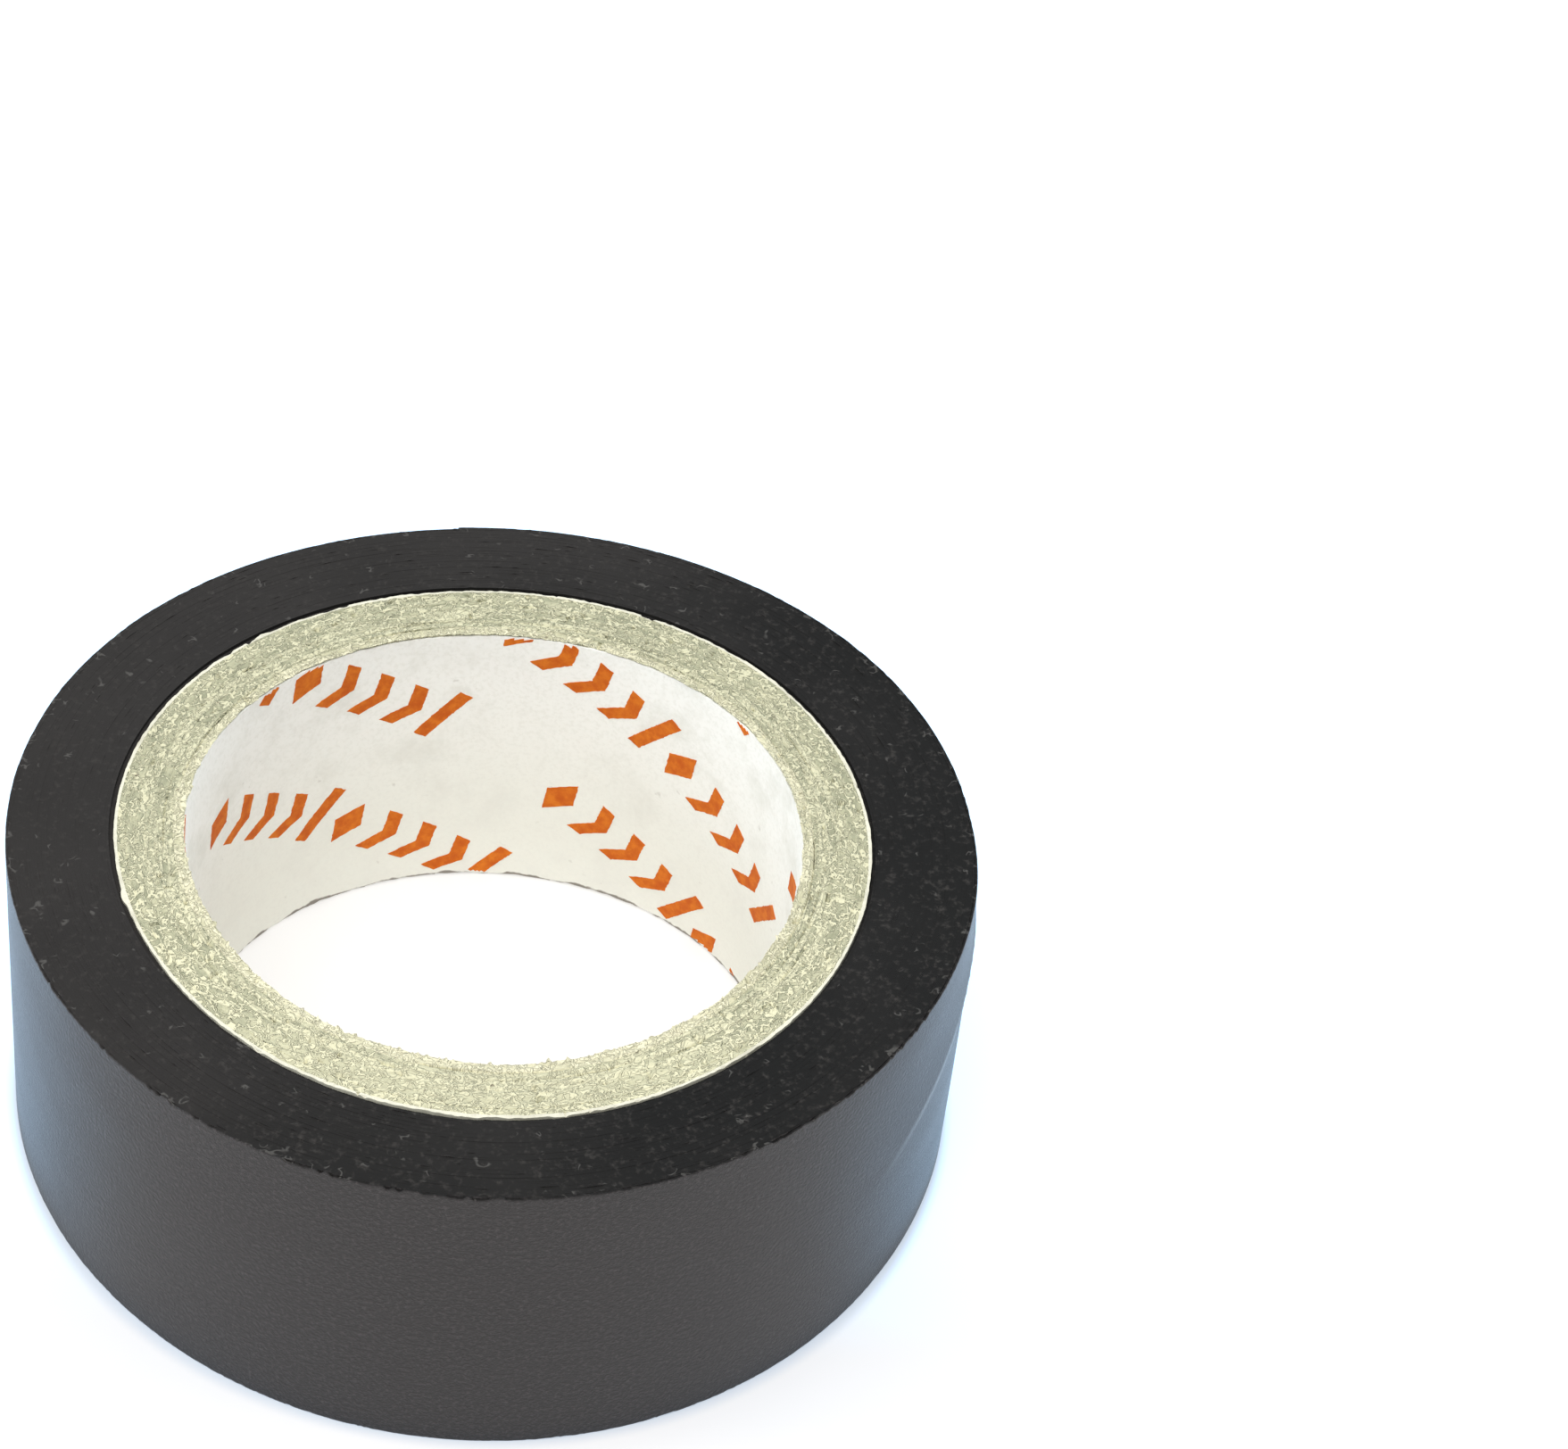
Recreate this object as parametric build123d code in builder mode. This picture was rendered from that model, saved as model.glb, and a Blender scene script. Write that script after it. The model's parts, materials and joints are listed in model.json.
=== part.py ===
"""A roll of black PVC electrical insulation tape on a spiral-wound cardboard core.

The roll lies flat: its axis is +Z and its lower end faces rest on Z = 0. The core is a paper tube of nine
plies: a printed white liner round the bore, seven plies of grey board, and a thin white cover. Every ply
is a strip wound along one helix, so each has a slanting butt seam. The tape is one continuous strip of
film, wound on the cover as a spiral whose turns are an adhesive's thickness apart. The last stretch of
the strip is cut into short lengths that are hinged to each other, so that the free end can be peeled.
Lengths are in millimetres and angles in degrees.
"""

from build123d import *
import math
import os

# Driving dimensions
tape_width = 19.0
roll_diameter = 52.0
core_outside = 40.8
core_bore = 33.3

# The tape: a film whose turns are held apart by the adhesive on its inner side
film_thickness = 0.11
turns = 42

# The core's plies, and the glue line between them
liner_thickness = 0.12
cover_thickness = 0.13
glue_line = 0.02
board_plies = 7
helix_angle = 30.0
seam_gap = 0.2
liner_seam_angle = 213.0
seam_stagger = 137.5

# The free end of the tape
tip_angle = 98.0
end_lengths = 6
end_arc = 10.0
hinge_gap = 0.02

# The widest way across the roll passes every turn twice, and the outer one's step once more
turn_pitch = (roll_diameter - core_outside) / (2 * turns + 1)
adhesive_thickness = turn_pitch - film_thickness
first_radius = core_outside / 2 + adhesive_thickness
half_turns = 2 * turns
wound_end = 180.0 - end_lengths * end_arc
board_room = (core_outside - core_bore) / 2 - liner_thickness - cover_thickness
board_thickness = (board_room - (board_plies + 1) * glue_line) / board_plies
helix_lead = math.pi * core_bore * math.tan(math.radians(helix_angle))
seam_overrun = 1.0

os.makedirs("parts", exist_ok=True)


def save(part, name):
    """Writes one finished piece as parts/name.step."""
    part.label = name
    export_step(part, f"parts/{name}.step")


# ---------------------------------------------------------------- core


def butt_seam(middle_radius, thickness, angle):
    """The slanting gap where the two edges of one ply's strip meet, as a ribbon that cuts the ply."""
    foot = Plane.XY.offset(-seam_overrun).rotated((0, 0, angle))
    with BuildPart() as seam:
        with BuildLine(foot) as edge:
            Helix(helix_lead, tape_width + 2 * seam_overrun, middle_radius)
        start = edge.line @ 0
        outward = Vector(start.X, start.Y, 0)
        with BuildSketch(Plane(origin=start, x_dir=outward, z_dir=edge.line % 0)):
            Rectangle(thickness + 2 * glue_line, seam_gap)
        sweep(is_frenet=True)
    return seam.part


def wound_ply(inner_radius, thickness, angle):
    """One ply of the core: a tube as long as the tape is wide, slit along its butt seam."""
    seam = butt_seam(inner_radius + thickness / 2, thickness, angle)
    with BuildPart() as ply:
        with BuildSketch():
            Circle(inner_radius + thickness)
            Circle(inner_radius, mode=Mode.SUBTRACT)
        extrude(amount=tape_width)
        add(seam, mode=Mode.SUBTRACT)
    return ply.part


def make_core():
    """Writes the liner, the board plies and the cover, from the bore outwards."""
    plies = [("core_liner", liner_thickness)]
    plies += [(f"board_ply_{i + 1}", board_thickness) for i in range(board_plies)]
    plies += [("core_cover", cover_thickness)]
    radius = core_bore / 2
    angle = liner_seam_angle
    for name, thickness in plies:
        save(wound_ply(radius, thickness, angle), name)
        radius += thickness + glue_line
        angle += seam_stagger


# ---------------------------------------------------------------- tape


def half_turn(number, offset, start, size):
    """An arc of one half turn. Half turns are centred by turns on the axis and beside it, and each is
    wider than the last by half a pitch, so that they meet with no corner."""
    centre = (turn_pitch / 2, 0) if number % 2 else (0, 0)
    base = 180.0 if number % 2 else 0.0
    radius = first_radius + number * turn_pitch / 2 + offset
    return CenterArc(centre, radius, base + start, size)


def make_windings():
    """Writes the wound strip, from its inner end on the core to the line where it peels off."""
    with BuildPart() as windings:
        with BuildSketch(Plane.XY.rotated((0, 0, tip_angle))):
            with BuildLine():
                for number in range(half_turns):
                    size = 180.0 if number < half_turns - 1 else wound_end
                    inner = half_turn(number, 0, 0, size)
                    outer = half_turn(number, film_thickness, 0, size)
                    if number == 0:
                        Line(inner @ 0, outer @ 0)
                Line(inner @ 1, outer @ 1)
            make_face()
        extrude(amount=tape_width)
    save(windings.part, "tape_windings")


def make_free_end():
    """Writes the short lengths of the free end. Each turns about the outer edge of its own root."""
    last = half_turns - 1
    hairline = math.degrees(hinge_gap / (roll_diameter / 2))
    for i in range(end_lengths):
        start = wound_end + i * end_arc + hairline
        with BuildPart() as length:
            with BuildSketch(Plane.XY.rotated((0, 0, tip_angle))):
                with BuildLine():
                    inner = half_turn(last, 0, start, end_arc - hairline)
                    outer = half_turn(last, film_thickness, start, end_arc - hairline)
                    Line(inner @ 0, outer @ 0)
                    Line(inner @ 1, outer @ 1)
                make_face()
            extrude(amount=tape_width)
        save(length.part, f"tape_end_{i + 1}")


make_core()
make_windings()
make_free_end()

mean_radius = first_radius + turns * turn_pitch / 2
print(f"{turns * 2 * math.pi * mean_radius / 1000:.2f} m of tape, {adhesive_thickness:.4f} mm between turns")
print(f"board plies {board_thickness:.3f} mm thick, helix lead {helix_lead:.2f} mm")
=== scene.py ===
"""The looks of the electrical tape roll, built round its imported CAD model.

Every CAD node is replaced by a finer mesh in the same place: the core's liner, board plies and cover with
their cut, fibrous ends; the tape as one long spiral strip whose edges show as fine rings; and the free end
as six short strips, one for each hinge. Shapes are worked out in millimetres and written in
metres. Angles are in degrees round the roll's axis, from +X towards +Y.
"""

import json

import bpy
import numpy as np
from mathutils import Matrix, Vector


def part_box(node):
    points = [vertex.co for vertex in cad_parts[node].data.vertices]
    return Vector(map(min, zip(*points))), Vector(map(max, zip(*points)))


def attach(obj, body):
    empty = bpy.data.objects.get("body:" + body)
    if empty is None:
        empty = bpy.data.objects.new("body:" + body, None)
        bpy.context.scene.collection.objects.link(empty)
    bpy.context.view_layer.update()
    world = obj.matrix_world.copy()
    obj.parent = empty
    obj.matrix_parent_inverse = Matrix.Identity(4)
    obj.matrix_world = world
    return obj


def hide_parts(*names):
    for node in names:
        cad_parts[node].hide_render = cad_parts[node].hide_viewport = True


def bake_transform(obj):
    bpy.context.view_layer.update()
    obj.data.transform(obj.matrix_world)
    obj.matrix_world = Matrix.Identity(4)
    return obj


MM = 0.001

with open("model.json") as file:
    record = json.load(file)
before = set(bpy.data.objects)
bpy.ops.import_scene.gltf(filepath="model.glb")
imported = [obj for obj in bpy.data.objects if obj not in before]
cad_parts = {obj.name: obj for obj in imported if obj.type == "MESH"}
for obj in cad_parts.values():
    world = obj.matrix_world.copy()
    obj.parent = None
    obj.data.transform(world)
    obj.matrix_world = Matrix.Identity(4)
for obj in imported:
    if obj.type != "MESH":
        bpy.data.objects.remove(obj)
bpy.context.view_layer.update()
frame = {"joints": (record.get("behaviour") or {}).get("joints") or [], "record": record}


# ---------------------------------------------------------------- sizes, from the frame


def outer_radius(node):
    """The outer radius of a tube of the CAD model, in millimetres."""
    low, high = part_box(node)
    return (high.x - low.x) / 2 / MM


bore = next(m for m in frame["record"]["mounts"] if m["name"] == "core_bore")
bore_radius = bore["dims"]["r_mm"]
tape_width = bore["dims"]["length_mm"]
board_plies = [f"board_ply_{i + 1}" for i in range(7)]
glue_line = 0.02

# The tape's spiral, as part.py has it
film_thickness = 0.11
turns = 42
tip_angle = 98.0
roll_diameter = 52.0
core_outside = 2 * outer_radius("core_cover")
turn_pitch = (roll_diameter - core_outside) / (2 * turns + 1)
adhesive_thickness = turn_pitch - film_thickness
first_radius = core_outside / 2 + adhesive_thickness

# The free end is made of hinged lengths
hinges = frame["joints"]
end_arc = 10.0

# How far the visible roll is out of round
oval_size, oval_angle = 0.07, 138.0
lobe_size, lobe_angle = 0.17, 34.0
swell_size, swell_angle = 0.07, 10.0
shift_size, shift_angle = 0.06, 215.0


# ---------------------------------------------------------------- noise and meshes


def lattice_noise(seed, across, along, cells_across, cells_along):
    """Smooth noise from -1 to 1. Both coordinates run from 0 to 1, and it repeats along the second."""
    across, along = np.broadcast_arrays(across, along)
    grid = np.random.default_rng(seed).uniform(-1, 1, (cells_across + 2, cells_along))
    x = np.clip(across, 0, 1) * cells_across
    y = (along % 1) * cells_along
    i = x.astype(int)
    j = y.astype(int) % cells_along
    fx = x - i
    fy = y - np.floor(y)
    sx = fx * fx * (3 - 2 * fx)
    sy = fy * fy * (3 - 2 * fy)
    right = (j + 1) % cells_along
    low = grid[i, j] * (1 - sy) + grid[i, right] * sy
    high = grid[i + 1, j] * (1 - sy) + grid[i + 1, right] * sy
    return low * (1 - sx) + high * sx


# A fold that climbs round the right-hand side: an angle and a height for each end. Below it the outer wraps
# have slipped outward, and along it they stand up in a low ridge
fold_start = (322.0, 8.0)
fold_end = (352.0, 14.3)
fold_rise, fold_above, fold_below = 0.33, 3.0, 30.0
fold_ridge, ridge_below = 0.10, 0.38


def fold(angle, height):
    """How far the outermost wrap stands out beside the fold, in millimetres."""
    scale = np.radians(1) * roll_diameter / 2
    arc = ((angle - fold_start[0] + 180) % 360 - 180) * scale
    climb = height - fold_start[1]
    way = np.array([(fold_end[0] - fold_start[0]) * scale, fold_end[1] - fold_start[1]])
    length = np.linalg.norm(way)
    way /= length
    along = (arc * way[0] + climb * way[1]) / length
    aside = -arc * way[1] + climb * way[0]
    rising = np.clip(along / 0.9, 0, 1)
    falling = np.clip((1.6 - along) / 0.5, 0, 1)
    fade = (rising * falling) ** 2 * (3 - 2 * rising) * (3 - 2 * falling)
    away = np.abs(aside)
    slipped = fold_rise * np.exp(-away / np.where(aside > 0, fold_above, fold_below))
    ridge = fold_ridge * np.exp(-away / np.where(aside > 0, fold_above, ridge_below))
    return fade * (slipped + ridge)


def out_of_round(radius, angle, height):
    """How much further out than a true circle the roll stands, in millimetres. The wound tape also swells on
    two sides and shifts to one, the more so the further out it is."""
    oval = oval_size * np.cos(np.radians(2 * (angle - oval_angle)))
    lobe = lobe_size * np.cos(np.radians(3 * (angle - lobe_angle)))
    wound = np.clip((2 * radius - core_outside) / (roll_diameter - core_outside), 0, 1)
    swell = swell_size * (1 + np.cos(np.radians(2 * (angle - swell_angle))))
    shift = shift_size * np.cos(np.radians(angle - shift_angle))
    return oval + lobe + wound * (swell + shift) + wound**4 * fold(angle, height)


def strip_length(turn):
    """The length of film wound by then, in millimetres."""
    return 2 * np.pi * turn * (first_radius + turn * turn_pitch / 2)


def before_tip(angle):
    """How much film lies between an angle of the outermost turn and the free tip, in millimetres."""
    turn = turns - ((tip_angle - angle) % 360) / 360
    return strip_length(turns) - strip_length(turn)


def cylinder_points(radius, angle, height):
    """Points in metres from radii and heights in millimetres and angles in degrees."""
    radius, angle, height = np.broadcast_arrays(radius, angle, height)
    radius = radius + out_of_round(radius, angle, height)
    turned = np.radians(angle)
    points = np.stack([radius * np.cos(turned), radius * np.sin(turned), height], axis=-1)
    return points * MM


def make_object(name, points, faces, materials, face_materials=None, uvs=None, sharp=40.0):
    """A mesh object, smooth except where its faces meet at more than `sharp` degrees."""
    mesh = bpy.data.meshes.new(name)
    mesh.from_pydata(points.reshape(-1, 3).tolist(), [], faces)
    for material in materials:
        mesh.materials.append(material)
    if face_materials is not None:
        mesh.polygons.foreach_set("material_index", face_materials)
    if uvs is not None:
        corner = np.empty(len(mesh.loops), dtype=np.int32)
        mesh.loops.foreach_get("vertex_index", corner)
        layer = mesh.uv_layers.new(name="unrolled")
        layer.data.foreach_set("uv", uvs.reshape(-1, 2)[corner].astype(np.float32).ravel())
    mesh.shade_smooth()
    mesh.set_sharp_from_angle(angle=np.radians(sharp))
    piece = bpy.data.objects.new(name, mesh)
    bpy.context.scene.collection.objects.link(piece)
    return piece


def sweep(name, radius, height, angle, side_slots, materials, closed, lengths=None):
    """A solid whose outline moves round the axis. radius and height hold one outline in each row, and angle
    says where each row, or each point of it, stands. side_slots gives each side of the outline a material."""
    rows, count = radius.shape
    points = cylinder_points(radius, angle.reshape(rows, -1), height)
    first = np.arange(rows if closed else rows - 1)
    second = (first + 1) % rows
    side = np.arange(count)
    after = (side + 1) % count
    quads = np.stack(
        [
            first[:, None] * count + side,
            second[:, None] * count + side,
            second[:, None] * count + after,
            first[:, None] * count + after,
        ],
        axis=-1,
    ).reshape(-1, 4)
    faces = quads.tolist()
    slots = np.tile(side_slots, len(first)).tolist()
    if not closed:
        faces.append(side[::-1].tolist())
        faces.append((side + (rows - 1) * count).tolist())
        slots += [side_slots[0]] * 2
    uvs = None
    if lengths is not None:
        uvs = np.stack(np.broadcast_arrays(lengths[:, None], height), axis=-1)
    return make_object(name, points, faces, materials, slots, uvs)


# ---------------------------------------------------------------- materials


class Finish:
    """A procedural material under construction."""

    def __init__(self, name, roughness, ior=1.5, **sockets):
        self.material = bpy.data.materials.new(name)
        self.material.use_nodes = True
        self.tree = self.material.node_tree
        self.shader = self.tree.nodes["Principled BSDF"]
        self.shader.inputs["Roughness"].default_value = roughness
        self.shader.inputs["IOR"].default_value = ior
        for socket, value in sockets.items():
            self.shader.inputs[socket.replace("_", " ")].default_value = value

    def node(self, kind, inputs=(), **settings):
        """A node. inputs maps a socket's name or number to a value or to another node's output."""
        made = self.tree.nodes.new(kind)
        for key, value in settings.items():
            setattr(made, key, value)
        for key, value in dict(inputs).items():
            if isinstance(value, bpy.types.NodeSocket):
                self.tree.links.new(value, made.inputs[key])
            else:
                made.inputs[key].default_value = value
        return made

    def object_place(self):
        """The place on the roll, in metres."""
        return self.node("ShaderNodeTexCoord").outputs["Object"]

    def unrolled_place(self):
        """The place on the strip laid flat, in millimetres from its tip and from the floor."""
        return self.node("ShaderNodeUVMap", uv_map="unrolled").outputs["UV"]

    def stretched(self, place, scale):
        """A place, scaled along each of its three coordinates."""
        return self.node("ShaderNodeVectorMath", {0: place, 1: scale}, operation="MULTIPLY").outputs[0]

    def dot(self, place, way):
        """How far a place lies along a direction."""
        made = self.node("ShaderNodeVectorMath", {0: place, 1: way}, operation="DOT_PRODUCT")
        return made.outputs["Value"]

    def length(self, place):
        """How far a place lies from the origin."""
        return self.node("ShaderNodeVectorMath", {0: place}, operation="LENGTH").outputs["Value"]

    def axis(self, place, letter):
        """One coordinate of a place."""
        return self.node("ShaderNodeSeparateXYZ", {0: place}).outputs[letter]

    def ring_place(self, across, along, upward):
        """Coordinates that have no seam round the axis: so many cells in a millimetre across the rings,
        along them at a radius of 20 mm, and upward."""
        place = self.object_place()
        flat = self.stretched(place, (1, 1, 0))
        toward = self.node("ShaderNodeVectorMath", {0: flat}, operation="NORMALIZE").outputs[0]
        around_x = self.maths("MULTIPLY", self.axis(toward, "X"), 20 * along)
        around_y = self.maths("MULTIPLY", self.axis(toward, "Y"), 20 * along)
        outward = self.maths("MULTIPLY", self.length(flat), across / MM)
        climb = self.maths("MULTIPLY", self.axis(place, "Z"), upward / MM)
        outward = self.maths("ADD", outward, climb)
        return self.node("ShaderNodeCombineXYZ", {0: outward, 1: around_x, 2: around_y}).outputs[0]

    def maths(self, operation, first, second=0.0):
        """The result of one sum."""
        inputs = {0: first, 1: second}
        return self.node("ShaderNodeMath", inputs, operation=operation).outputs[0]

    def noise(self, place, scale=1.0, detail=2.0, roughness=0.5, distortion=0.0):
        """Cloudy noise, mostly between 0.3 and 0.7."""
        inputs = {"Vector": place, "Scale": scale, "Detail": detail}
        inputs.update({"Roughness": roughness, "Distortion": distortion})
        return self.node("ShaderNodeTexNoise", inputs).outputs["Fac"]

    def steps(self, value, low, high):
        """value, stretched so that low becomes 0 and high becomes 1."""
        inputs = {"Value": value, "From Min": low, "From Max": high}
        return self.node("ShaderNodeMapRange", inputs, interpolation_type="SMOOTHSTEP").outputs["Result"]

    def hairs(self, noise, width):
        """1 along the curly lines where a noise passes its middle, and 0 beyond the width beside them."""
        aside = self.maths("ABSOLUTE", self.maths("SUBTRACT", noise, 0.5))
        return self.steps(aside, width, 0.3 * width)

    def mix(self, share, first, second):
        """The first colour where share is 0 and the second where it is 1."""
        made = self.node("ShaderNodeMix", {0: share}, data_type="RGBA")
        for number, colour in ((6, first), (7, second)):
            if isinstance(colour, bpy.types.NodeSocket):
                self.tree.links.new(colour, made.inputs[number])
            else:
                made.inputs[number].default_value = (*colour, 1)
        return made.outputs[2]

    def blend_value(self, share, low, high):
        """A number that goes from low to high as share goes from 0 to 1."""
        inputs = {"Value": share, "To Min": low, "To Max": high}
        return self.node("ShaderNodeMapRange", inputs).outputs["Result"]

    def bump(self, height, distance):
        """A normal for relief that is so many millimetres high where height is 1."""
        inputs = {"Height": height, "Distance": distance * MM, "Strength": 1.0}
        return self.node("ShaderNodeBump", inputs).outputs["Normal"]

    def finish(self, **links):
        """Links outputs to the shader's sockets and gives the material."""
        for socket, output in links.items():
            self.tree.links.new(output, self.shader.inputs[socket.replace("_", " ")])
        return self.material


def painted_fold_highlight(finish, place):
    """Where a highlight is painted along the fold: 1 along it, in the unrolled coordinates of the strip, and
    0 away from it.
    """
    start = Vector((before_tip(fold_start[0]), fold_start[1], 0))
    way = Vector((before_tip(fold_end[0]), fold_end[1], 0)) - start
    across = Vector((-way.y, way.x, 0)).normalized()
    offset = finish.node("ShaderNodeVectorMath", {0: place, 1: start}, operation="SUBTRACT").outputs[0]
    along = finish.dot(offset, way / way.length**2)
    aside = finish.maths("ABSOLUTE", finish.dot(offset, across))
    line = finish.maths("MULTIPLY", finish.steps(aside, 0.52, 0.05), finish.steps(along, 0.05, 0.60))
    return finish.maths("MULTIPLY", line, finish.steps(along, 1.35, 1.0))


def film_finish():
    """Black PVC film: satin, with a fine mottled grain, faint cloudy patches and rare pale flecks. Along the
    fold a pale bluish highlight is painted."""
    finish = Finish("tape_film", 0.36, ior=1.45)
    place = finish.unrolled_place()
    grain = finish.noise(place, scale=4.2, detail=3.0, roughness=0.75)
    cloud = finish.noise(finish.stretched(place, (0.20, 0.35, 1)), detail=3.0)
    fleck = finish.noise(place, scale=3.1, detail=1.0)
    fleck = finish.maths("MULTIPLY", finish.steps(fleck, 0.74, 0.80), 0.3)
    colour = finish.mix(cloud, (0.007, 0.0055, 0.0055), (0.014, 0.0112, 0.0112))
    colour = finish.mix(finish.steps(grain, 0.48, 0.70), colour, (0.044, 0.036, 0.037))
    colour = finish.mix(fleck, colour, (0.10, 0.098, 0.10))
    # A painted highlight along the fold
    colour = finish.mix(painted_fold_highlight(finish, place), colour, (0.135, 0.150, 0.160))
    roughness = finish.blend_value(cloud, 0.31, 0.41)
    normal = finish.bump(grain, 0.08)
    return finish.finish(Base_Color=colour, Roughness=roughness, Normal=normal)


def edge_finish():
    """The slit edges of the film: matt black, with cloudy dust and a painted sheen that makes them paler
    towards the left and back, and a few pale hair-like scuffs.
    """
    finish = Finish("tape_edge", 0.8, ior=1.31)
    place = finish.object_place()
    grain = finish.noise(place, scale=2600.0, detail=3.0, roughness=0.65)
    patch = finish.noise(place, scale=90.0, detail=2.0)
    # Cloudy dust patches, plus a painted sheen that grows towards the left and back
    dust_and_sheen = finish.steps(finish.maths("ADD", patch, finish.dot(place, (-16.0, 9.0, 0.0))), 0.0, 1.0)
    scuff = finish.hairs(finish.noise(place, scale=1500.0, detail=1.0, distortion=0.4), 0.05)
    radius = finish.length(finish.stretched(place, (1, 1, 0)))
    rim = finish.maths("MULTIPLY", finish.steps(radius, 25.1 * MM, 26.0 * MM), 0.13)
    where = finish.maths("ADD", finish.noise(place, scale=1000.0, detail=1.0), rim)
    where = finish.steps(where, 0.64, 0.72)
    scuff = finish.maths("MULTIPLY", scuff, finish.maths("MULTIPLY", where, 0.55))
    colour = finish.mix(dust_and_sheen, (0.0032, 0.0031, 0.0029), (0.021, 0.0190, 0.0180))
    colour = finish.mix(finish.steps(grain, 0.5, 0.8), colour, (0.032, 0.029, 0.027))
    colour = finish.mix(scuff, colour, (0.10, 0.096, 0.09))
    normal = finish.bump(finish.maths("ADD", grain, scuff), 0.03)
    return finish.finish(Base_Color=colour, Normal=normal)


def adhesive_finish():
    """The sticky side of the film: glossy black with faint drag lines."""
    finish = Finish("tape_adhesive", 0.22, ior=1.48)
    place = finish.unrolled_place()
    drag = finish.noise(finish.stretched(place, (0.6, 4.0, 1)), detail=3.0)
    colour = finish.mix(drag, (0.010, 0.010, 0.010), (0.020, 0.019, 0.018))
    roughness = finish.blend_value(drag, 0.14, 0.34)
    normal = finish.bump(drag, 0.01)
    return finish.finish(Base_Color=colour, Roughness=roughness, Normal=normal)


def board_finish(name, dark, light, fibre, layering):
    """Recycled board, cut across: grey-green pulp under curly pale fibres, with a few brown pits. Its layers
    show as pale and dark rings, more or less clearly. Painted shade makes it greyer at the back, and painted
    light makes it paler in front."""
    finish = Finish(name, 0.9, ior=1.3)
    pulp = finish.noise(finish.ring_place(1.5, 0.5, 1.0), detail=4.0, roughness=0.7)
    curl = finish.noise(finish.ring_place(2.5, 1.6, 1.6), detail=2.0, distortion=0.9)
    strand = finish.hairs(curl, 0.09)
    layer = finish.noise(finish.ring_place(2.4, 0.20, 0.5), detail=2.0, roughness=0.55)
    layer = finish.maths("MULTIPLY", finish.steps(layer, 0.42, 0.62), layering)
    fine = finish.noise(finish.ring_place(6.0, 4.5, 4.0), detail=2.0)
    pit = finish.steps(finish.noise(finish.ring_place(2.6, 2.2, 2.0), detail=1.0), 0.74, 0.80)
    colour = finish.mix(finish.steps(pulp, 0.32, 0.68), dark, light)
    strands = finish.maths("MULTIPLY", strand, 0.85)
    colour = finish.mix(finish.maths("MAXIMUM", strands, layer), colour, fibre)
    colour = finish.mix(finish.steps(fine, 0.47, 0.27), colour, dark)
    # Painted light and shade: greyer towards the back and paler towards the front
    depth = finish.axis(finish.object_place(), "Y")
    painted_back_shade = finish.maths("MULTIPLY", finish.steps(depth, -16 * MM, 8 * MM), 0.16)
    colour = finish.mix(painted_back_shade, colour, tuple(0.8 * value for value in dark))
    painted_front_light = finish.maths("MULTIPLY", finish.steps(depth, -12 * MM, -19 * MM), 0.5)
    colour = finish.mix(painted_front_light, colour, tuple(0.85 * value for value in fibre))
    colour = finish.mix(pit, colour, (0.30, 0.27, 0.19))
    height = finish.maths("MULTIPLY", strand, 0.6)
    height = finish.maths("ADD", height, finish.maths("MULTIPLY", fine, 0.4))
    height = finish.maths("ADD", height, finish.maths("MULTIPLY", layer, 0.6))
    normal = finish.bump(height, 0.20)
    return finish.finish(Base_Color=colour, Normal=normal)


def paper_finish(name, clean, grimy, painted_top_light=None, painted_shade_height=0.0):
    """White paper with a faint grain and a little grime. It may have painted light that makes it brighter
    towards the top, and painted shade that darkens it below a ragged height in millimetres."""
    finish = Finish(name, 0.62, ior=1.4)
    place = finish.object_place()
    grain = finish.noise(place, scale=4000.0, detail=3.0, roughness=0.6)
    grime = finish.noise(place, scale=220.0, detail=5.0, roughness=0.7)
    speck = finish.steps(finish.noise(place, scale=1400.0, detail=2.0), 0.70, 0.80)
    height = finish.axis(place, "Z")
    # Painted light: brighter towards the top
    if painted_top_light:
        clean = finish.mix(finish.steps(height, 3 * MM, 17 * MM), clean, painted_top_light)
    colour = finish.mix(finish.steps(grime, 0.46, 0.76), clean, grimy)
    mottle = finish.maths("MULTIPLY", finish.steps(grain, 0.45, 0.65), 0.35)
    colour = finish.mix(mottle, colour, grimy)
    colour = finish.mix(finish.maths("MULTIPLY", speck, 0.4), colour, (0.45, 0.43, 0.38))
    # Painted shade along the bottom edge, darker below a ragged height
    if painted_shade_height:
        patch = finish.noise(place, scale=500.0, detail=3.0, roughness=0.6)
        reach = finish.maths("MULTIPLY", patch, patch)
        reach = finish.maths("MULTIPLY", reach, 3.2 * painted_shade_height * MM)
        painted_bottom_shade = finish.steps(finish.maths("SUBTRACT", reach, height), -0.06 * MM, 0.06 * MM)
        colour = finish.mix(painted_bottom_shade, colour, (0.24, 0.22, 0.19))
    normal = finish.bump(grain, 0.012)
    return finish.finish(Base_Color=colour, Normal=normal)


def ink_finish():
    """Orange printing ink that lies unevenly on the paper."""
    finish = Finish("orange_ink", 0.7, ior=1.3)
    place = finish.object_place()
    cover = finish.noise(place, scale=1500.0, detail=4.0, roughness=0.65)
    colour = finish.mix(finish.steps(cover, 0.30, 0.75), (0.54, 0.095, 0.003), (0.70, 0.185, 0.010))
    normal = finish.bump(cover, 0.01)
    return finish.finish(Base_Color=colour, Normal=normal)


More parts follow.
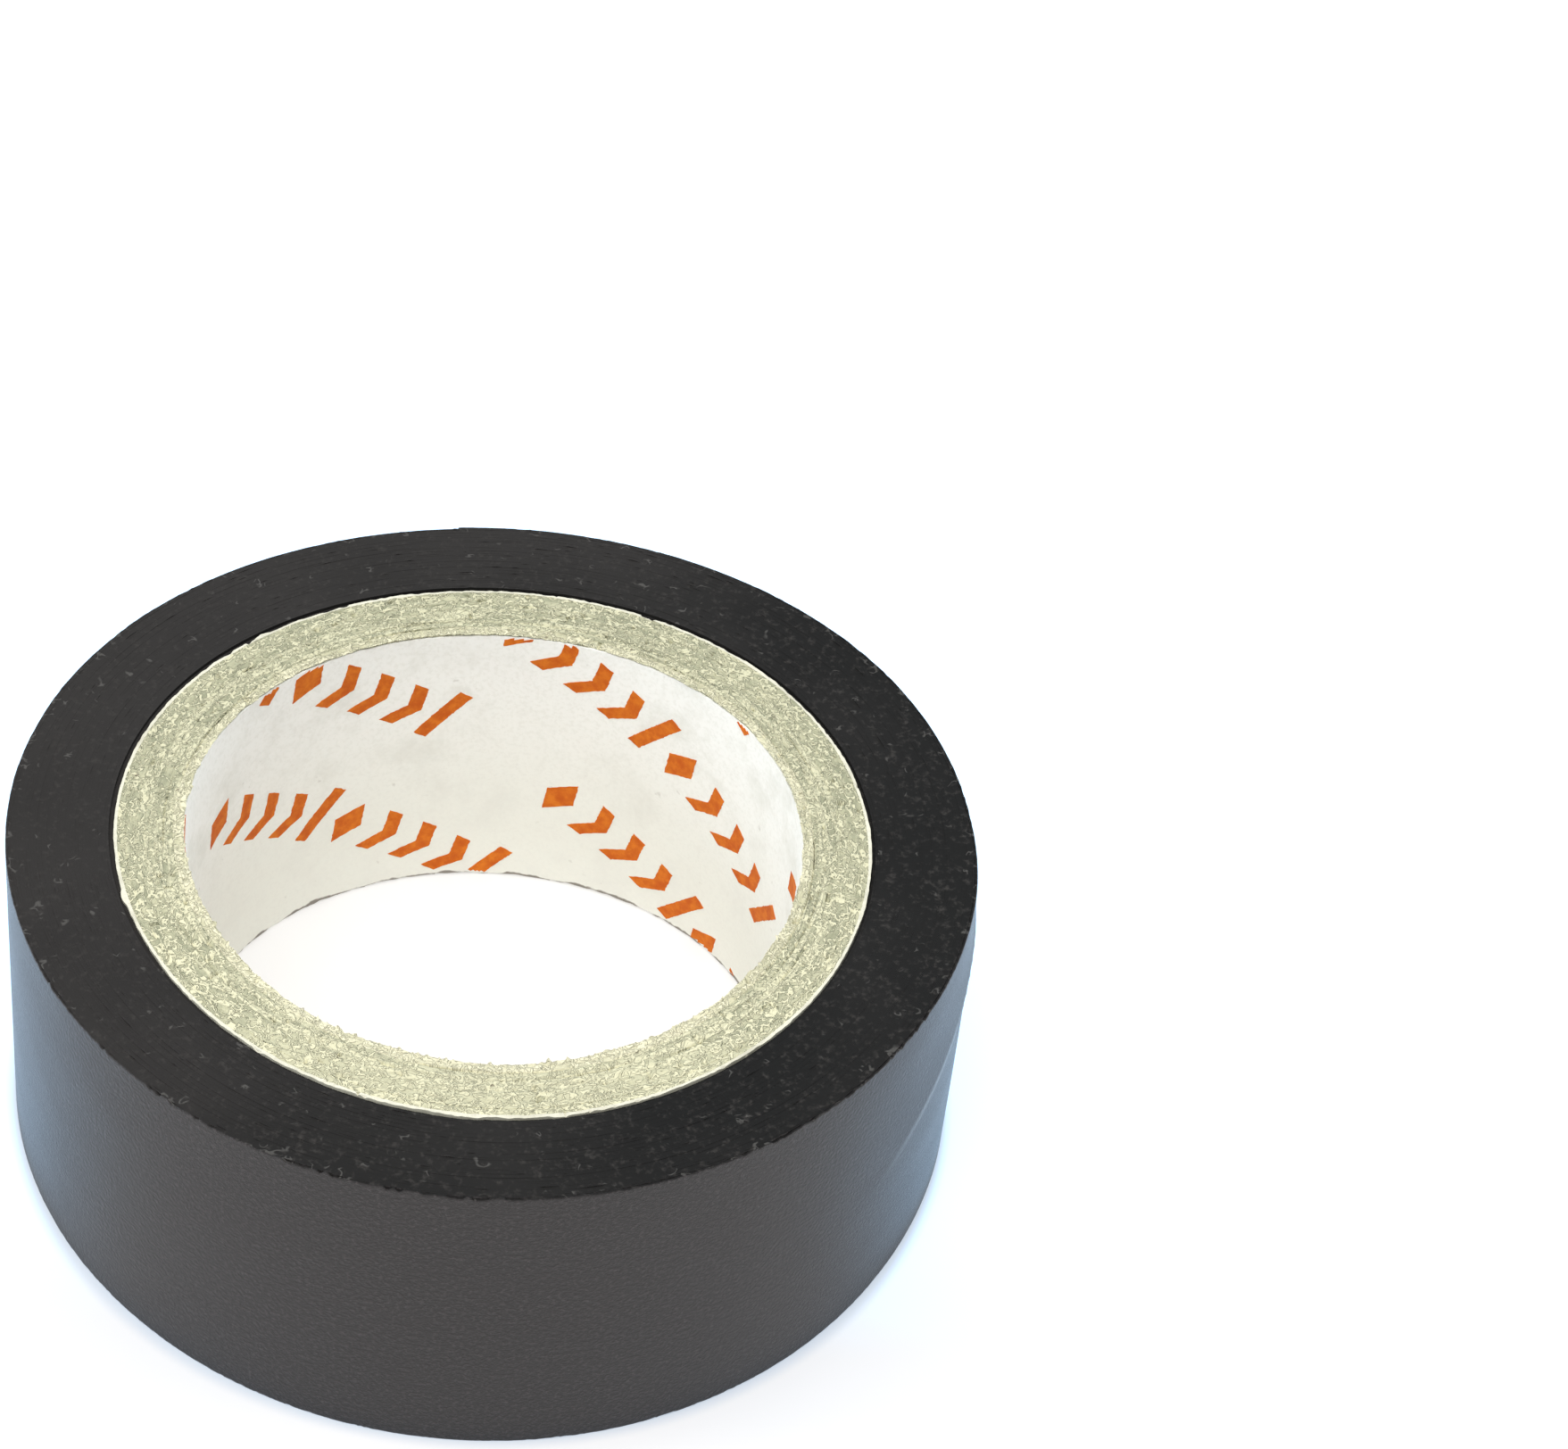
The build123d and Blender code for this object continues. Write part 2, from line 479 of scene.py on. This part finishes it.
film = film_finish()
film_edge = edge_finish()
adhesive = adhesive_finish()
tape_materials = [film, film_edge, adhesive]
FILM, EDGE, STICKY = range(3)
board_colours = (0.29, 0.295, 0.20), (0.51, 0.495, 0.335), (0.74, 0.71, 0.495)
inner_colours = (0.46, 0.445, 0.30), (0.64, 0.61, 0.42), (0.80, 0.76, 0.55)
board = board_finish("core_board", *board_colours, layering=0.25)
layered_board = board_finish("core_board_layered", *board_colours, layering=0.8)
inner_board = board_finish("core_board_inner", *inner_colours, layering=0.6)
cover_paper = paper_finish("cover_paper", (0.68, 0.66, 0.54), (0.50, 0.48, 0.38))
liner_colours = (0.81, 0.815, 0.745), (0.76, 0.76, 0.70), (0.92, 0.92, 0.88)
liner_paper = paper_finish("liner_paper", *liner_colours, painted_shade_height=0.28)
ink = ink_finish()


# ---------------------------------------------------------------- the core


def ragged(seed, share, cells, keep=0.55):
    """Rare tufts round a cut edge, from 0 to 1. The higher keep is, the rarer they are."""
    noise = lattice_noise(seed, 0, share, 1, cells)
    return np.clip((noise - keep) / (1 - keep), 0, 1)


def cut_face(radius, share):
    """How far the core's sawn end stands off its true plane. Curled fibres stand up in ridges and pits go in.
    The plies share one surface, so that they meet, but near the bore they have cracked apart in places."""
    across = (radius - bore_radius) / (core_outside / 2 - bore_radius)
    curls = 1 - 2 * np.abs(lattice_noise(21, across, share, 12, 260))
    fine = lattice_noise(22, across, share, 40, 800)
    swell = lattice_noise(23, across, share, 3, 14)
    pits = np.clip(lattice_noise(24, across, share, 9, 200) - 0.76, 0, 1)
    relief = 0.035 * curls + 0.012 * fine + 0.03 * swell - 0.9 * pits
    for number, name in enumerate(board_plies[:3]):
        joint = outer_radius(name) + glue_line / 2
        crack = np.clip(2.2 * lattice_noise(31 + number, 0, share, 1, 26) - 0.1 - 0.25 * number, 0, 1)
        relief = relief - 0.09 * crack * (np.abs(radius - joint) < 0.03)
    frayed = lattice_noise(35, across, share, 9, 130)
    layered = lattice_noise(36, across, share, 22, 34)
    return relief + 0.05 * np.exp(-across / 0.12) * frayed + 0.05 * np.exp(-across / 0.5) * layered


# The sawn faces lie this far below and above the core's nominal ends, and each seam ends in a notch
top_sink, bottom_sink = 0.05, 0.09
lip_depth = 0.10
top_notch, bottom_notch, notch_half_angle = 0.12, 0.10, 0.2
golden_angle = 137.5
core_stations, wall_steps = 1200, 6


def make_ply(name, inner, outer, material, seed, fray, overhang=0.0, jags=0.0):
    """One ply of the core: a tube with a rough, sawn face at each end, and a notch where its seam ends. fray
    is the size of the tufts at its inner rim. The upper face may hang over the bore, or run out in jags over
    what is round it. All these are in millimetres."""
    share = np.arange(core_stations) / core_stations
    angle = share * 360
    steps = np.linspace(0, 1, wall_steps + 1)
    wall = inner + (outer - inner) * steps
    relief = cut_face(wall[None, :], share[:, None])
    offset = 0.012 * np.random.default_rng(seed).uniform(-1, 1)
    tufts = fray * (ragged(seed + 4, share, 420) + 0.6 * ragged(seed + 5, share, 900))
    notch_angle = (seed * golden_angle) % 360
    notch = np.abs((angle - notch_angle + 180) % 360 - 180) < notch_half_angle
    top = tape_width - top_sink + offset + relief - top_notch * notch[:, None]
    top[:, 0] += tufts
    bottom = bottom_sink + 0.5 * np.abs(relief[:, ::-1]) + bottom_notch * notch[:, None]
    lip = np.full((core_stations, 1), tape_width - top_sink - lip_depth)
    outline = np.concatenate([wall[:1], wall, wall[::-1]])
    radius = np.tile(outline, (core_stations, 1))
    wavering = lattice_noise(seed + 6, 0, share, 1, 90)
    wavering = wavering + 0.6 * lattice_noise(seed + 7, 0, share, 1, 400)
    radius[:, 1] -= overhang * (1 + 0.5 * wavering) + 0.8 * tufts
    radius[:, wall_steps + 1] += jags * (0.5 * wavering + 2.5 * ragged(seed + 8, share, 60, 0.8))
    height = np.concatenate([lip, top, bottom], axis=1)
    piece = sweep(name, radius, height, angle, [0] * radius.shape[1], [material], closed=True)
    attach(piece, "roll")
    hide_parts(name)
    return piece


def make_core():
    """The board plies and the cover. The innermost ply is paler, and frays over the bore's edge."""
    inner = outer_radius("core_liner") + glue_line / 2
    for number, name in enumerate(board_plies):
        outer = outer_radius(name) + glue_line / 2
        if number:
            look = layered_board if number < 4 else board
            piece = make_ply(name, inner, outer, look, 11 + 7 * number, 0.02)
        else:
            piece = make_ply(name, inner, outer, inner_board, 11, 0.12, overhang=0.12)
        inner = outer
    outer = outer_radius("core_cover")
    cover = make_ply("core_cover", inner, outer, cover_paper, 83, 0.0, overhang=0.03, jags=0.05)


helix_lead = np.pi * 2 * bore_radius * np.tan(np.radians(30.0))
liner_seam_angle = 213.0
seam_gap = 0.2
liner_columns, liner_rows = 900, 28
liner_top_sink, liner_bottom_sink = 0.19, 0.13


def make_liner():
    """The printed liner: one strip of paper from seam edge to seam edge. Its columns slant with the seam."""
    share = np.linspace(0, 1, liner_columns + 1)
    gap = np.degrees(seam_gap / bore_radius)
    level = np.linspace(0, 1, liner_rows + 1)
    outer = outer_radius("core_liner") - 0.004
    edge = share[:, None]
    top = tape_width - liner_top_sink + 0.02 * lattice_noise(203, 0, share, 1, 240)
    bottom = liner_bottom_sink + 0.05 * lattice_noise(204, 0, share, 1, 200)
    bottom = bottom - 0.05 * ragged(205, share, 260)
    height = bottom[:, None] + (top - bottom)[:, None] * level[None, :]
    wave = 0.018 * lattice_noise(206, level[None, :], edge, 5, 26)
    wave = wave + 0.006 * lattice_noise(207, level[None, :], edge, 14, 90)
    inside = bore_radius + 0.02 + wave
    outside = np.full_like(inside, outer)
    radius = np.concatenate([inside, outside[:, ::-1]], axis=1)
    heights = np.concatenate([height, height[:, ::-1]], axis=1)
    start = liner_seam_angle + gap / 2
    angle = start + edge * (360 - gap) + heights * 360 / helix_lead
    count = radius.shape[1]
    piece = sweep("core_liner", radius, heights, angle, [0] * count, [liner_paper], closed=False)
    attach(piece, "roll")
    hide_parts("core_liner")


def seam_angle(height):
    """Where the liner's slanting seam stands at a height, in degrees."""
    return liner_seam_angle + height * 360 / helix_lead


# The liner's pattern: groups of plain marks in slanting rows, cut off by the ends of the core. Places are
# given as a length along the bore's wall, clockwise from row_origin_angle, and a depth below its top.
row_slant = 32.5
row_origin_angle = 200.0
first_group = (12.6, 6.75)
across_step = (22.9, 5.25)
down_step = (2.8, 12.2)
mark_pitch, mark_height, stroke_width = 2.42, 3.0, 0.84
italic = 0.2
pattern = "diamond chevron chevron chevron bar diamond chevron chevron chevron bar".split()
print_skin, print_root = 0.012, 0.03
print_margin, print_inset = 0.6, 0.2


def mark_cells(kind, seed):
    """One mark as a grid of points on the flat paper. Its middle is at the origin, and its edges waver."""
    rng = np.random.default_rng(seed)
    if kind == "diamond":
        corners = np.array([(-0.40, 0.0), (0.0, -0.5), (0.40, 0.0), (0.0, 0.5)]) * (mark_pitch, mark_height)
        one, two = np.meshgrid(np.linspace(0, 1, 11), np.linspace(0, 1, 11), indexing="ij")
        one, two = one[..., None], two[..., None]
        low = corners[0] * (1 - one) + corners[1] * one
        high = corners[3] * (1 - one) + corners[2] * one
        cells = low * (1 - two) + high * two
    elif kind == "chevron":
        half = mark_height / 2
        level = np.linspace(-1, 1, 25)[:, None, None] * half
        middle = 0.22 * mark_height - 0.5 * np.abs(level)
        slope_width = stroke_width * np.hypot(1, 0.5)
        beside = middle + slope_width * np.linspace(-0.5, 0.5, 5)[None, :, None]
        cells = np.concatenate(np.broadcast_arrays(beside, level), axis=-1)
    else:
        level = np.linspace(-0.55, 0.72, 31)[:, None, None] * mark_height
        beside = stroke_width * np.linspace(-0.5, 0.5, 5)[None, :, None]
        cells = np.concatenate(np.broadcast_arrays(beside, level), axis=-1)
    cells = cells + rng.normal(0, 0.014, cells.shape)
    cells[..., 0] += italic * cells[..., 1]
    return cells


def make_print():
    """All the marks of the pattern as one thin layer of ink on the liner."""
    points, faces = [], []
    slant = np.radians(row_slant)
    low, high = print_inset, tape_width - print_inset
    margin = np.degrees(print_margin / bore_radius)
    for across in range(-3, 6):
        for down in range(-4, 5):
            group_along = first_group[0] + across * across_step[0] + down * down_step[0]
            group_depth = first_group[1] + across * across_step[1] + down * down_step[1]
            if group_depth > tape_width - print_margin:
                continue
            for place, kind in enumerate(pattern):
                seed = 10000 + 1000 * across + 100 * down + place
                cells = mark_cells(kind, seed)
                forward = place * mark_pitch + cells[..., 0]
                upward = cells[..., 1]
                along = group_along + forward * np.cos(slant) + upward * np.sin(slant)
                depth = group_depth + forward * np.sin(slant) - upward * np.cos(slant)
                height = tape_width - depth
                angle = row_origin_angle - np.degrees(along / bore_radius)
                past_seam = angle - seam_angle(height) + 360
                inside = (height >= low) & (height <= high)
                inside &= (past_seam > margin) & (past_seam < 360 - margin)
                height = np.clip(height, low, high)
                skin = cylinder_points(bore_radius - print_skin, angle, height)
                base = cylinder_points(bore_radius + print_root, angle, height)
                add_plate(points, faces, skin, base, inside)
    piece = make_object("liner_print", np.concatenate(points), faces, [ink], sharp=60.0)
    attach(piece, "roll")


def add_plate(points, faces, skin, base, inside):
    """Adds a closed plate over the cells that lie wholly inside."""
    rows, columns = inside.shape
    cell = inside[:-1, :-1] & inside[1:, :-1] & inside[:-1, 1:] & inside[1:, 1:]
    if not cell.any():
        return
    start = sum(len(p) for p in points)
    points.append(skin.reshape(-1, 3))
    points.append(base.reshape(-1, 3))
    depth = rows * columns

    def corner(i, j, below):
        return start + i * columns + j + (depth if below else 0)

    for i, j in zip(*np.nonzero(cell)):
        ring = [(i, j), (i + 1, j), (i + 1, j + 1), (i, j + 1)]
        faces.append([corner(a, b, False) for a, b in ring])
        faces.append([corner(a, b, True) for a, b in ring[::-1]])
        beside = [(i, j - 1), (i + 1, j), (i, j + 1), (i - 1, j)]
        for k, (a, b) in enumerate(beside):
            if 0 <= a < rows - 1 and 0 <= b < columns - 1 and cell[a, b]:
                continue
            near, far = ring[k], ring[(k + 1) % 4]
            upper = [corner(*far, False), corner(*near, False)]
            faces.append(upper + [corner(*near, True), corner(*far, True)])


# ---------------------------------------------------------------- the tape


def spiral_radius(turn):
    """The radius of the film's inner side after so many turns. It is the CAD's spiral of half turns, whose
    centres are by turns on the axis and half a pitch beside it."""
    half = np.floor(2 * turn + 1e-9)
    sway = np.where(half % 2 == 1, np.cos(2 * np.pi * turn), 0.0)
    return first_radius + (half + sway) * turn_pitch / 2


# The side on which the outermost turns' rim is most ragged
ragged_angle = 255.0
rim_turns = 1.6


def edge_height(turn, seed):
    """How far the film's edge stands off its true line. It wanders a little, a few turns have nicks, the rim
    is ragged, and the first turn sits low beside the core."""
    share = turn / turns
    wander = 0.008 * lattice_noise(seed, 0, share, 1, 5 * turns)
    chatter = 0.006 * lattice_noise(seed + 1, 0, share, 1, 90 * turns)
    nicks = np.clip(lattice_noise(seed + 2, 0, share, 1, 260 * turns) - 0.86, 0, 1)
    rim = np.clip(turn - (turns - rim_turns), 0, 1)
    side = 0.5 + 0.5 * np.cos(np.radians(tip_angle + 360 * turn - ragged_angle))
    teeth = lattice_noise(seed + 3, 0, share, 1, 520 * turns)
    teeth = teeth * (0.5 + lattice_noise(seed + 4, 0, share, 1, 90 * turns))
    teeth = np.clip(teeth, -0.9, 0.7)
    sunk = np.clip((1.8 - turn) / 0.5, 0, 1)
    return wander + chatter + 0.35 * nicks + rim * (0.02 + 0.13 * side) * teeth - 0.22 * sunk


def skin_relief(angle, height):
    """How far the outermost film stands off a true cylinder."""
    share = angle / 360
    level = height / tape_width
    slow = 0.018 * lattice_noise(301, level, share, 3, 9)
    fine = 0.004 * lattice_noise(302, level, share, 12, 70)
    return slow + fine


# The free end is cut this unevenly, over this length
tear_depth, tear_reach = 0.35, 3.0

# How finely the strip is made: levels up its outer side, and stations in each turn. Only the last turns are
# fine, and the last of them, which is seen, the most
covered_levels, seen_levels = 26, 70
coarse_stations, fine_stations = 540, 1500
fine_turns, seen_turns = 1.55, 0.76


def make_strip(name, start, end, per_turn, levels):
    """The film, with its adhesive, from one turn to another. Its outer side has so many levels up the roll.
    The strip's last end is cut a little unevenly."""
    stations = int(np.ceil((end - start) * per_turn)) + 1
    turn = np.linspace(start, end, stations)
    inner = spiral_radius(turn)[:, None] - adhesive_thickness
    low = 0.002 + np.abs(edge_height(turn, 401))[:, None] * 0.6
    high = tape_width + edge_height(turn, 411)[:, None] - 0.02
    rise = (1 - np.cos(np.linspace(0, np.pi, levels))) / 2
    outer_height = low + (high - low) * rise
    angle = tip_angle + 360 * turn
    relief = 0.0
    if levels > 2:
        relief = skin_relief(angle[:, None], outer_height)
        rim = np.minimum(outer_height - low, high - outer_height)
        relief = relief - 0.03 * np.exp(-rim / 0.03)
    outer = inner + adhesive_thickness + film_thickness + relief
    outer = np.broadcast_to(outer, outer_height.shape)
    radius = np.concatenate([inner, outer, inner], axis=1)
    height = np.concatenate([low, outer_height, high], axis=1)
    left = strip_length(turns) - strip_length(turn)
    ending = np.clip(1 - left / tear_reach, 0, 1)[:, None] ** 2
    uneven = tear_depth * lattice_noise(421, height / tape_width, 0.5, 9, 4)
    angle = angle[:, None] - np.degrees(ending * np.abs(uneven) / (roll_diameter / 2))
    sides = [EDGE] + [FILM] * (levels - 1) + [EDGE, STICKY]
    return sweep(name, radius, height, angle, sides, tape_materials, False, left)


def turn_at(angle_before_tip):
    """The turn that the strip has reached so many degrees before its tip."""
    return turns - angle_before_tip / 360


def make_tape():
    """The wound turns, coarse inside and fine outside, and the strips of the free end."""
    fine_start = turns - fine_turns
    seen_start = turns - seen_turns
    root = turn_at(len(hinges) * end_arc + end_arc / 2)
    middle = fine_start / 2
    wound = [
        make_strip("tape_inner_turns", 0.0, middle, coarse_stations, 2),
        make_strip("tape_outer_turns", middle, fine_start, coarse_stations, 2),
        make_strip("tape_covered_turn", fine_start, seen_start, fine_stations, covered_levels),
        make_strip("tape_outermost_turn", seen_start, root, fine_stations, seen_levels),
    ]
    for piece in wound:
        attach(piece, "roll")
        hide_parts("tape_windings")
    for number, hinge in enumerate(hinges):
        to_tip = (len(hinges) - number) * end_arc
        start = turn_at(to_tip + end_arc / 2)
        blend_end = turn_at(to_tip - end_arc / 2)
        last = number == len(hinges) - 1
        end = turns if last else blend_end
        name = f"tape_end_{number + 1}"
        piece = make_strip(name, start, end, fine_stations, covered_levels)
        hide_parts(hinge["child"])
        middle_radius = spiral_radius(np.array([start, blend_end])) + film_thickness / 2
        where = tip_angle + 360 * np.array([start, blend_end])
        ends = cylinder_points(middle_radius, where, tape_width / 2)
        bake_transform(piece)


make_core()
make_liner()
make_print()
make_tape()


# ---------------------------------------------------------------- floor, light and camera


def make_floor():
    """A plain pale floor that glows a little, so that the roll's shadow stays faint. The film reflects it, so
    the glow is bluer beside and behind the roll than in front, and darker close to the roll and in it."""
    half = 3.0
    corners = np.array([(-half, -half, 0), (half, -half, 0), (half, half, 0), (-half, half, 0)], float)
    finish = Finish("pale_floor", 0.8, ior=1.2, Base_Color=(0.36, 0.36, 0.36, 1), Emission_Strength=0.72)
    place = finish.object_place()
    radius = finish.length(place)
    depth = finish.axis(place, "Y")
    spread = finish.maths("MULTIPLY", radius, 29.0)
    turned = finish.maths("SUBTRACT", finish.maths("DIVIDE", depth, radius), spread)
    glow = finish.mix(finish.steps(turned, -2.10, -1.60), (0.98, 0.945, 0.93), (0.75, 0.76, 0.79))
    glow = finish.mix(finish.steps(turned, -1.52, -1.02), glow, (0.93, 1.42, 1.98))
    rim = roll_diameter / 2 * MM
    glow = finish.mix(finish.steps(radius, rim - 0.1 * MM, rim + 0.9 * MM), (0.46, 0.55, 0.67), glow)
    glow = finish.mix(finish.steps(radius, 19 * MM, 23 * MM), (0.80, 0.785, 0.765), glow)
    floor = make_object("floor", corners, [[0, 1, 2, 3]], [finish.finish(Emission_Color=glow)])


def make_light(name, place, size, power, colour):
    """A square softbox that faces the roll. Its place and size are in metres, and its power in watts."""
    light = bpy.data.lights.new(name, "AREA")
    light.size = size
    light.energy = power
    light.color = colour
    holder = bpy.data.objects.new(name, light)
    holder.location = place
    holder.visible_camera = False
    holder.rotation_euler = (Vector((0, 0, 0.01)) - Vector(place)).to_track_quat("-Z", "Y").to_euler()
    bpy.context.scene.collection.objects.link(holder)


def make_world(toward, painted_top_light, dim, strength):
    """Soft light from all round, bright from one way and dimmer from the other."""
    world = bpy.data.worlds.new("studio")
    world.use_nodes = True
    tree = world.node_tree
    place = tree.nodes.new("ShaderNodeTexCoord")
    facing = tree.nodes.new("ShaderNodeVectorMath")
    facing.operation = "DOT_PRODUCT"
    facing.inputs[1].default_value = Vector(toward).normalized()
    share = tree.nodes.new("ShaderNodeMapRange")
    share.interpolation_type = "SMOOTHSTEP"
    share.inputs["From Min"].default_value = -0.4
    share.inputs["From Max"].default_value = 0.9
    colour = tree.nodes.new("ShaderNodeMix")
    colour.data_type = "RGBA"
    colour.inputs[6].default_value = (*dim, 1)
    colour.inputs[7].default_value = (*painted_top_light, 1)
    tree.links.new(place.outputs["Generated"], facing.inputs[0])
    tree.links.new(facing.outputs["Value"], share.inputs["Value"])
    tree.links.new(share.outputs["Result"], colour.inputs[0])
    background = tree.nodes["Background"]
    tree.links.new(colour.outputs[2], background.inputs["Color"])
    background.inputs["Strength"].default_value = strength
    bpy.context.scene.world = world


def make_camera(place, aim, roll, lens):
    """The camera stands above the front of the roll, which lies at the lower left of its view. place and aim
    are in millimetres, roll in degrees and lens in millimetres."""
    data = bpy.data.cameras.new("camera")
    data.lens = lens
    data.sensor_width = 36.0
    data.clip_start = 0.01
    data.clip_end = 20.0
    camera = bpy.data.objects.new("camera", data)
    toward = (Vector(aim) - Vector(place)) * MM
    turn = toward.to_track_quat("-Z", "Y").to_matrix().to_4x4()
    shift = Matrix.Translation(Vector(place) * MM)
    camera.matrix_world = shift @ turn @ Matrix.Rotation(np.radians(roll), 4, "Z")
    bpy.context.scene.collection.objects.link(camera)
    bpy.context.scene.camera = camera


make_floor()
make_world(toward=(-0.60, 0.45, 0.60), painted_top_light=(1.0, 1.0, 0.99), dim=(0.62, 0.65, 0.68), strength=0.72)
make_light("front_softbox", place=(-0.05, -0.13, 0.48), size=0.36, power=2.2, colour=(1.0, 0.99, 0.97))
make_light("left_softbox", place=(-0.50, 0.05, 0.14), size=0.30, power=1.0, colour=(0.72, 0.87, 1.0))
make_light("right_softbox", place=(0.34, 0.37, 0.13), size=0.30, power=1.3, colour=(0.76, 0.89, 1.0))
make_camera(place=(1.67, -178.48, 189.85), aim=(17.14, 31.30, 0.0), roll=6.28, lens=105.0)
bpy.context.scene.view_settings.view_transform = "Standard"
